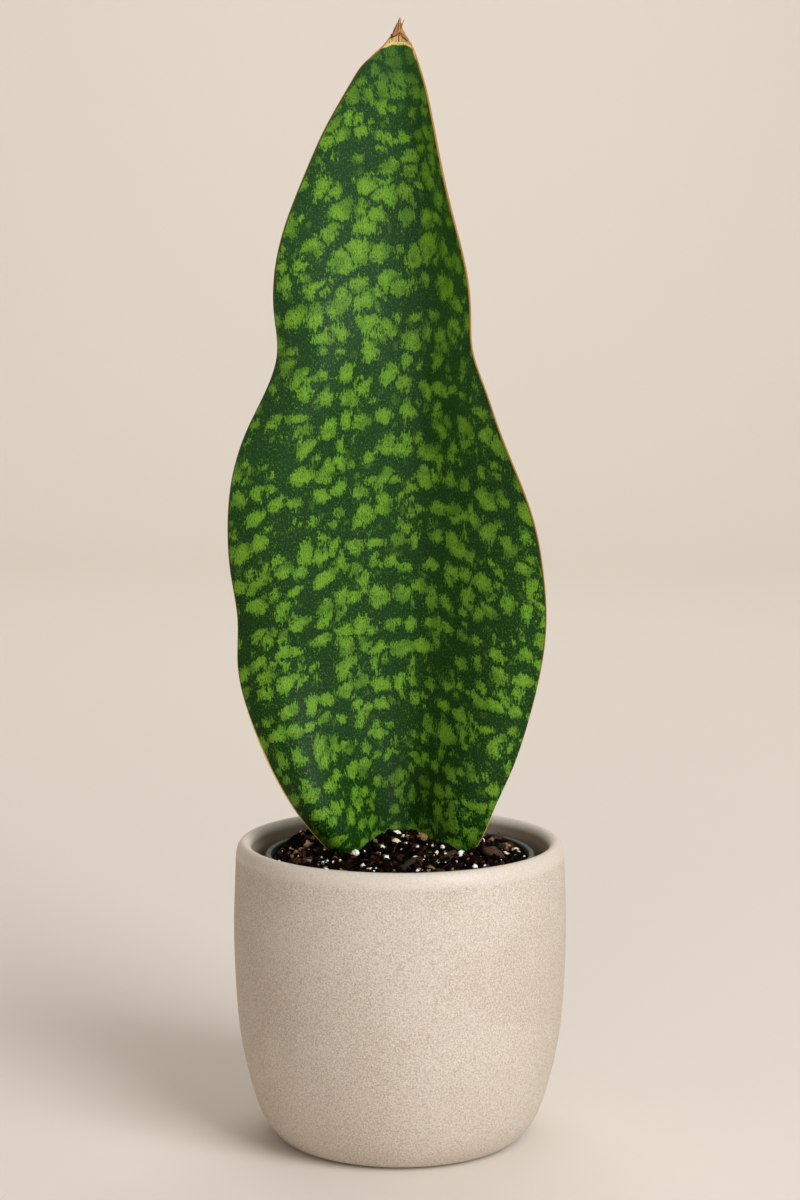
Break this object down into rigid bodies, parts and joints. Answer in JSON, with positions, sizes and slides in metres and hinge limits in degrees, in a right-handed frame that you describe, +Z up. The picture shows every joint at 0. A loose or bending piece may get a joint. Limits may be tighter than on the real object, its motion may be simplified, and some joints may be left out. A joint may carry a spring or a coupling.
{
  "type": "potted whale fin snake plant",
  "caption": "Broad single whale fin leaf with wavy margins and mottled green faces, in potting mix in a nursery grow pot inside a rounded matte stoneware cover pot.",
  "frame": {"origin": "centre of the cover pot's foot ring, on the surface that the pot stands on", "axes": "+Z up along the pot's axis; -Y towards the side that the leaf's channel opens to; +X to the right as seen from there"},
  "size_m": [0.1518, 0.15, 0.5],
  "materials": {
    "cover_pot": "matte",
    "grow_pot": "satin",
    "potting_mix": "matte",
    "leaf": "satin"
  },
  "bodies": {
    "root": {"cover_pot": "cover_pot", "grow_pot": "grow_pot", "potting_mix": "potting_mix", "leaf": "leaf"}
  },
  "joints": []
}
